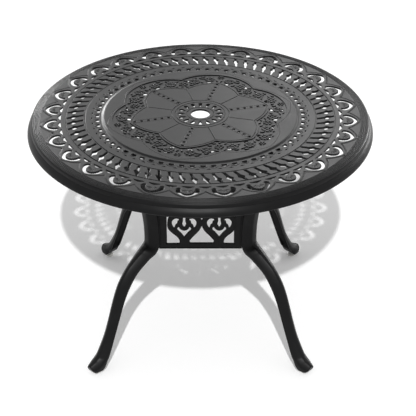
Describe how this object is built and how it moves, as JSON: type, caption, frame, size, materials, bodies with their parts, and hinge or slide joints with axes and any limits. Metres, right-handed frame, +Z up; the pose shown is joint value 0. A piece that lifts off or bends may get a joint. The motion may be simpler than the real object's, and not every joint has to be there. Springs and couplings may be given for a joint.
{
  "type": "umbrella table",
  "caption": "Round cast patio table: pierced ornamental top with an umbrella hole, S-shaped legs joined by pierced aprons, levelling feet.",
  "frame": {"origin": "on the floor under the centre of the round top", "axes": "+Z up, aprons parallel to X and Y, front of the picture towards -Y"},
  "size_m": [1.06, 1.06, 0.745],
  "materials": {
    "powder_coat": "black satin powder coat on cast aluminium",
    "zinc": "zinc plated",
    "nylon": "matt off-white nylon"
  },
  "bodies": {
    "frame": {"table_top": "powder_coat", "leg_back_right": "powder_coat", "leg_back_left": "powder_coat", "leg_front_left": "powder_coat", "leg_front_right": "powder_coat", "apron_back": "powder_coat", "apron_left": "powder_coat", "apron_front": "powder_coat", "apron_right": "powder_coat", "head_bolt_back_right_a": "zinc", "head_bolt_back_right_b": "zinc", "head_bolt_back_left_a": "zinc", "head_bolt_back_left_b": "zinc", "head_bolt_front_left_a": "zinc", "head_bolt_front_left_b": "zinc", "head_bolt_front_right_a": "zinc", "head_bolt_front_right_b": "zinc", "apron_bolt_back_a1": "zinc", "apron_bolt_back_a2": "zinc", "apron_bolt_back_b1": "zinc", "apron_bolt_back_b2": "zinc", "apron_bolt_left_a1": "zinc", "apron_bolt_left_a2": "zinc", "apron_bolt_left_b1": "zinc", "apron_bolt_left_b2": "zinc", "apron_bolt_front_a1": "zinc", "apron_bolt_front_a2": "zinc", "apron_bolt_front_b1": "zinc", "apron_bolt_front_b2": "zinc", "apron_bolt_right_a1": "zinc", "apron_bolt_right_a2": "zinc", "apron_bolt_right_b1": "zinc", "apron_bolt_right_b2": "zinc"},
    "glide_back_right": {"glide_back_right": "nylon"},
    "stud_back_right": {"stud_back_right": "zinc"},
    "glide_back_left": {"glide_back_left": "nylon"},
    "stud_back_left": {"stud_back_left": "zinc"},
    "glide_front_left": {"glide_front_left": "nylon"},
    "stud_front_left": {"stud_front_left": "zinc"},
    "glide_front_right": {"glide_front_right": "nylon"},
    "stud_front_right": {"stud_front_right": "zinc"}
  },
  "joints": [
    {"name": "level_back_right", "type": "slide", "parent": "frame", "child": "glide_back_right", "axis": [0, 0, -1], "range_m": [0, 0.008]},
    {"name": "turn_back_right", "type": "hinge", "parent": "glide_back_right", "child": "stud_back_right", "pos_m": [0.32527, 0.32527, 0], "axis": [0, 0, -1], "range_deg": [0, 2304]},
    {"name": "level_back_left", "type": "slide", "parent": "frame", "child": "glide_back_left", "axis": [0, 0, -1], "range_m": [0, 0.008]},
    {"name": "turn_back_left", "type": "hinge", "parent": "glide_back_left", "child": "stud_back_left", "pos_m": [-0.32527, 0.32527, 0], "axis": [0, 0, -1], "range_deg": [0, 2304]},
    {"name": "level_front_left", "type": "slide", "parent": "frame", "child": "glide_front_left", "axis": [0, 0, -1], "range_m": [0, 0.008]},
    {"name": "turn_front_left", "type": "hinge", "parent": "glide_front_left", "child": "stud_front_left", "pos_m": [-0.32527, -0.32527, 0], "axis": [0, 0, -1], "range_deg": [0, 2304]},
    {"name": "level_front_right", "type": "slide", "parent": "frame", "child": "glide_front_right", "axis": [0, 0, -1], "range_m": [0, 0.008]},
    {"name": "turn_front_right", "type": "hinge", "parent": "glide_front_right", "child": "stud_front_right", "pos_m": [0.32527, -0.32527, 0], "axis": [0, 0, -1], "range_deg": [0, 2304]}
  ],
  "couplings": [
    {"joint": "turn_back_right", "follows": "level_back_right", "rad_per_m": 5026.5},
    {"joint": "turn_back_left", "follows": "level_back_left", "rad_per_m": 5026.5},
    {"joint": "turn_front_left", "follows": "level_front_left", "rad_per_m": 5026.5},
    {"joint": "turn_front_right", "follows": "level_front_right", "rad_per_m": 5026.5}
  ]
}
